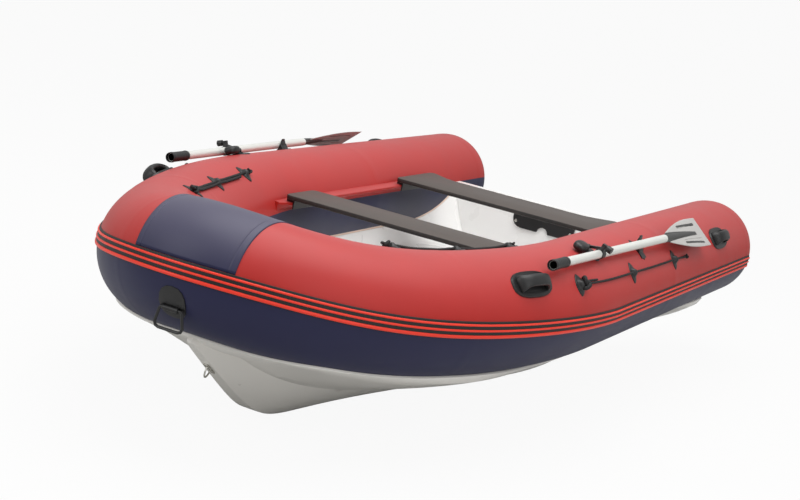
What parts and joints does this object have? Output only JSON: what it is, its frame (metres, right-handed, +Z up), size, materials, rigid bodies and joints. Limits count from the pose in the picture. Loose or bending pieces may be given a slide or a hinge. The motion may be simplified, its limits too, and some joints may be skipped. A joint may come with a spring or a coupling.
{
  "type": "rigid inflatable boat",
  "caption": "Rigid inflatable tender: moulded V hull and deck liner inside a U of air chambers, with sliding seats, oars in swivelling rowlocks, lifelines and carry handles.",
  "frame": {"origin": "on the ground under the middle of the boat, with the keel standing on it", "axes": "+X forward towards the bow, +Y to port, +Z up"},
  "size_m": [3.6762, 1.846, 0.8139],
  "materials": {
    "red_fabric": "satin",
    "navy_fabric": "satin",
    "black_rubber": "satin",
    "hull_gelcoat": "gloss",
    "liner_gelcoat": "gloss",
    "seat_board": "satin",
    "oar_alloy": "satin",
    "oar_plastic": "matte",
    "black_plastic": "satin",
    "rope": "matte",
    "stainless": "polished"
  },
  "bodies": {
    "boat": {"chamber_port": "red_fabric", "chamber_starboard": "red_fabric", "chamber_bow": "red_fabric", "rubbing_strake": "black_rubber", "bow_patch": "navy_fabric", "hull_shell": "hull_gelcoat", "deck_liner": "liner_gelcoat", "transom": "liner_gelcoat", "motor_pad_inner": "black_plastic", "motor_pad_outer": "black_plastic", "valve_bow": "black_plastic", "tow_patch": "black_rubber", "bow_eye": "stainless", "seat_rail_port": "red_fabric", "front_handle_port": "black_rubber", "aft_handle_port": "black_rubber", "outer_lifeline_port": "rope", "inner_lifeline_port": "rope", "valve_port": "black_plastic", "rowlock_base_port": "black_rubber", "oar_clip_port": "black_plastic", "outer_eyelet_1_port": "black_rubber", "inner_eyelet_1_port": "black_rubber", "outer_eyelet_2_port": "black_rubber", "inner_eyelet_2_port": "black_rubber", "outer_eyelet_3_port": "black_rubber", "inner_eyelet_3_port": "black_rubber", "seat_rail_starboard": "red_fabric", "front_handle_starboard": "black_rubber", "aft_handle_starboard": "black_rubber", "outer_lifeline_starboard": "rope", "inner_lifeline_starboard": "rope", "valve_starboard": "black_plastic", "rowlock_base_starboard": "black_rubber", "oar_clip_starboard": "black_plastic", "outer_eyelet_1_starboard": "black_rubber", "inner_eyelet_1_starboard": "black_rubber", "outer_eyelet_2_starboard": "black_rubber", "inner_eyelet_2_starboard": "black_rubber", "outer_eyelet_3_starboard": "black_rubber", "inner_eyelet_3_starboard": "black_rubber"},
    "front_seat": {"front_seat": "seat_board", "front_seat_bracket_port": "black_plastic", "front_seat_bracket_starboard": "black_plastic"},
    "aft_seat": {"aft_seat": "seat_board", "aft_seat_bracket_port": "black_plastic", "aft_seat_bracket_starboard": "black_plastic"},
    "towing_ring": {"towing_ring": "black_plastic"},
    "rowlock_port": {"rowlock_cradle_port": "black_plastic"},
    "oar_port": {"rowlock_arm_port": "black_plastic", "oar_shaft_port": "oar_alloy", "oar_sleeve_port": "black_rubber", "oar_blade_port": "oar_plastic"},
    "knob_port": {"rowlock_knob_port": "black_plastic"},
    "rowlock_starboard": {"rowlock_cradle_starboard": "black_plastic"},
    "oar_starboard": {"rowlock_arm_starboard": "black_plastic", "oar_shaft_starboard": "oar_alloy", "oar_sleeve_starboard": "black_rubber", "oar_blade_starboard": "oar_plastic"},
    "knob_starboard": {"rowlock_knob_starboard": "black_plastic"}
  },
  "joints": [
    {"name": "front_seat_slide", "type": "slide", "parent": "boat", "child": "front_seat", "axis": [1, 0, 0], "range_m": [-0.35, 0]},
    {"name": "aft_seat_slide", "type": "slide", "parent": "boat", "child": "aft_seat", "axis": [1, 0, 0], "range_m": [-0.1, 0.3]},
    {"name": "towing_ring_swing", "type": "hinge", "parent": "boat", "child": "towing_ring", "pos_m": [1.81294, 0, 0.49196], "axis": [0, -1, 0], "range_deg": [-8, 100]},
    {"name": "oar_port_swing", "type": "hinge", "parent": "boat", "child": "rowlock_port", "pos_m": [0.25364, 0.76223, 0.71824], "axis": [-0.0104, -0.3254, -0.9455], "range_deg": [0, 90]},
    {"name": "oar_port_lift", "type": "hinge", "parent": "rowlock_port", "child": "oar_port", "pos_m": [0.25383, 0.76792, 0.73479], "axis": [0.999, -0.0436, 0.004], "range_deg": [0, 60]},
    {"name": "knob_port_turn", "type": "hinge", "parent": "oar_port", "child": "knob_port", "pos_m": [0.25661, 0.8331, 0.75072], "axis": [-0.0426, -0.9446, 0.3256], "continuous": true},
    {"name": "oar_starboard_swing", "type": "hinge", "parent": "boat", "child": "rowlock_starboard", "pos_m": [0.25364, -0.76223, 0.71824], "axis": [0.0104, -0.3254, 0.9455], "range_deg": [0, 90]},
    {"name": "oar_starboard_lift", "type": "hinge", "parent": "rowlock_starboard", "child": "oar_starboard", "pos_m": [0.25383, -0.76792, 0.73479], "axis": [-0.999, -0.0436, -0.004], "range_deg": [0, 60]},
    {"name": "knob_starboard_turn", "type": "hinge", "parent": "oar_starboard", "child": "knob_starboard", "pos_m": [0.25661, -0.8331, 0.75072], "axis": [0.0426, -0.9446, -0.3256], "continuous": true}
  ]
}
